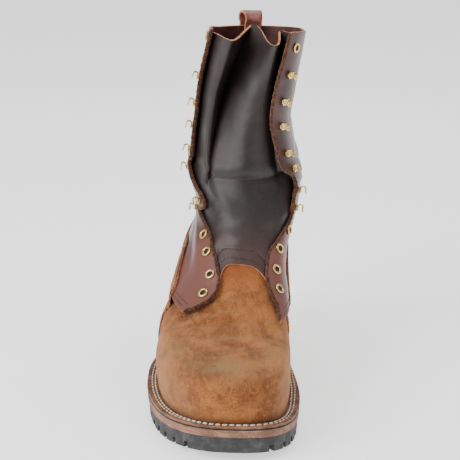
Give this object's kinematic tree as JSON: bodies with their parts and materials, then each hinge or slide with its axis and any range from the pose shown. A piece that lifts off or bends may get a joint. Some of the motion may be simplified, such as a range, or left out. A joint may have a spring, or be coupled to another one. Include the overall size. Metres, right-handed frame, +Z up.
{
  "type": "mid-calf lace-up work boot",
  "caption": "Right mid-calf leather work boot: suede foot, open unlaced smooth-leather shaft, folded tongue, brass lacing hardware, stacked heel and lugged rubber sole.",
  "frame": {"origin": "on the floor under the ball of the foot, at the flat of the tread", "axes": "+X to the inner (medial) side of the right foot, +Y from the toe to the heel, +Z up the leg"},
  "size_m": [0.1297, 0.3281, 0.3006],
  "materials": {
    "suede": "napped, matt",
    "smooth_leather": "oiled, satin",
    "dark_leather": "oiled, satin",
    "rubber": "matt",
    "stacked_leather": "burnished edge",
    "welt_leather": "worn, satin",
    "insole_leather": "matt",
    "brass": "polished"
  },
  "bodies": {
    "root": {"outsole": "rubber", "heel_cap": "rubber", "heel_lift_1": "stacked_leather", "heel_lift_2": "stacked_leather", "heel_lift_3": "stacked_leather", "midsole": "stacked_leather", "welt": "welt_leather", "insole": "insole_leather", "upper": "suede", "counter": "suede", "shaft": "smooth_leather", "pull_loop": "smooth_leather", "tongue": "dark_leather", "hook_lateral_1": "brass", "hook_lateral_2": "brass", "hook_lateral_3": "brass", "hook_lateral_4": "brass", "hook_lateral_5": "brass", "hook_lateral_6": "brass", "hook_lateral_7": "brass", "eyelet_lateral_1": "brass", "eyelet_lateral_2": "brass", "eyelet_lateral_3": "brass", "eyelet_lateral_4": "brass", "eyelet_lateral_5": "brass", "hook_medial_1": "brass", "hook_medial_2": "brass", "hook_medial_3": "brass", "hook_medial_4": "brass", "hook_medial_5": "brass", "hook_medial_6": "brass", "hook_medial_7": "brass", "eyelet_medial_1": "brass", "eyelet_medial_2": "brass", "eyelet_medial_3": "brass", "eyelet_medial_4": "brass", "eyelet_medial_5": "brass"}
  },
  "joints": []
}
